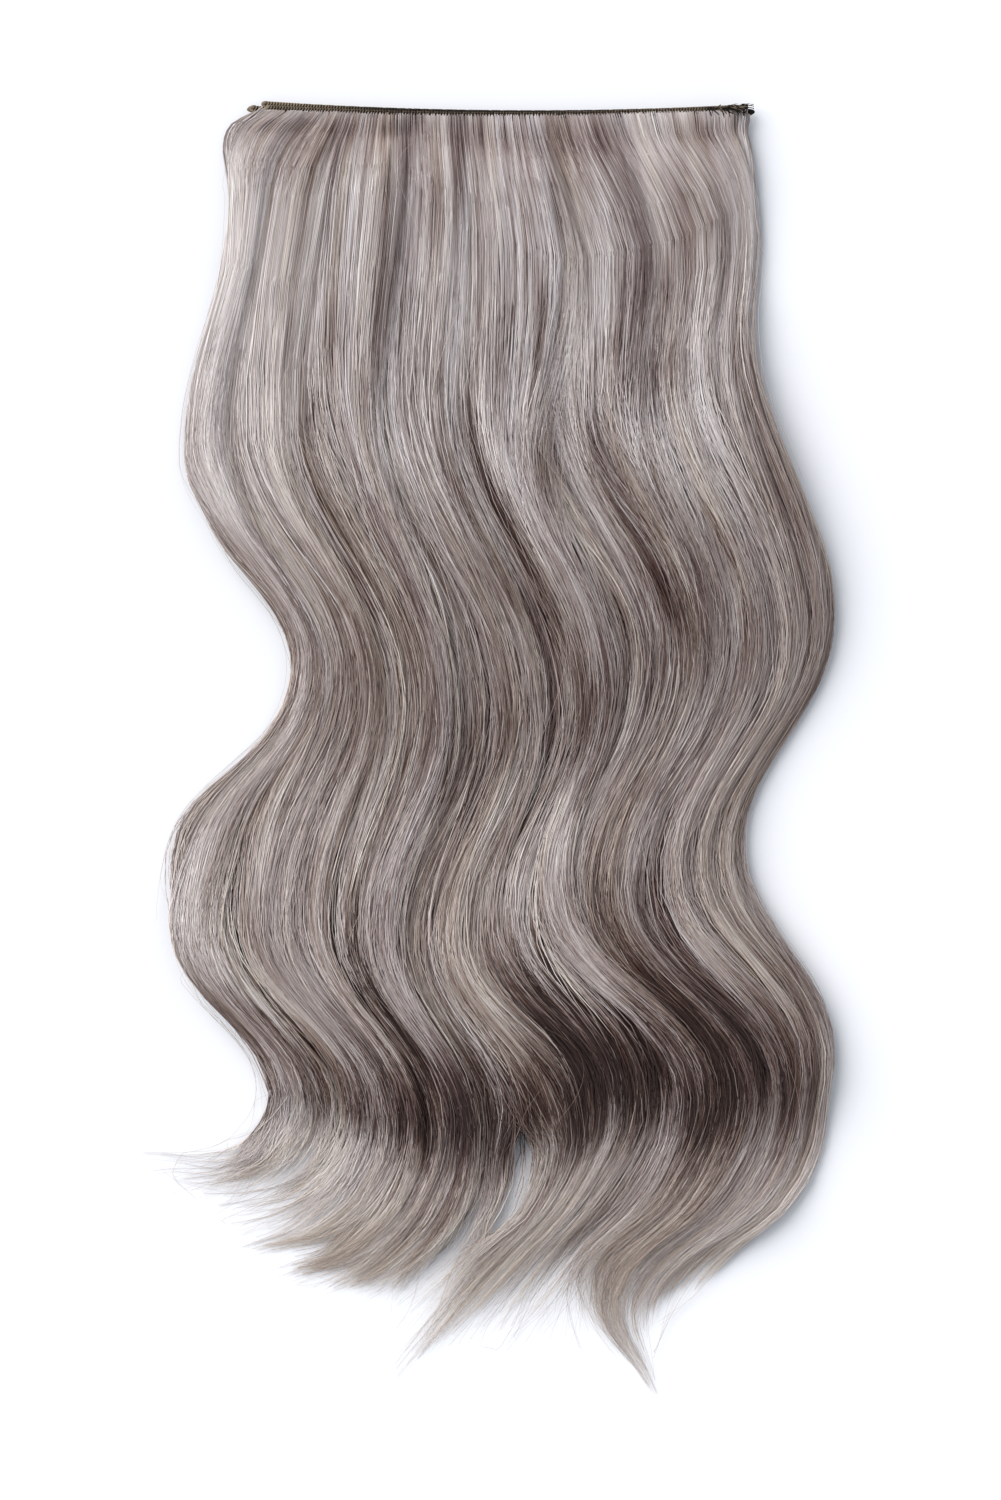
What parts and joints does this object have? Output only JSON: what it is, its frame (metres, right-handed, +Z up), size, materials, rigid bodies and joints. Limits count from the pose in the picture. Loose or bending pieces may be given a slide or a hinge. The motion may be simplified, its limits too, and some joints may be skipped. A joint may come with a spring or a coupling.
{
  "type": "clip-in hair extension",
  "caption": "Wide weft of long, loosely waved hair on stacked machine-sewn bands, with snap clips underneath, lying flat.",
  "frame": {"origin": "on the table, under the middle of the whole piece as it lies", "axes": "+X to the right along the weft, +Y from the tips of the hair to the weft, +Z up from the table"},
  "size_m": [0.2692, 0.5168, 0.0225],
  "materials": {
    "hair": "silver-grey hair with darker and paler strands, glossy along the strands",
    "thread": "dark brown machine stitching, matt",
    "clip_steel": "dark brown lacquered spring steel"
  },
  "bodies": {
    "root": {"hair_front": "hair", "hair_rear": "hair", "hair_under": "hair", "band_front": "thread", "band_rear": "thread", "band_under": "thread", "clip_1": "clip_steel", "clip_2": "clip_steel", "clip_3": "clip_steel", "clip_4": "clip_steel"}
  },
  "joints": []
}
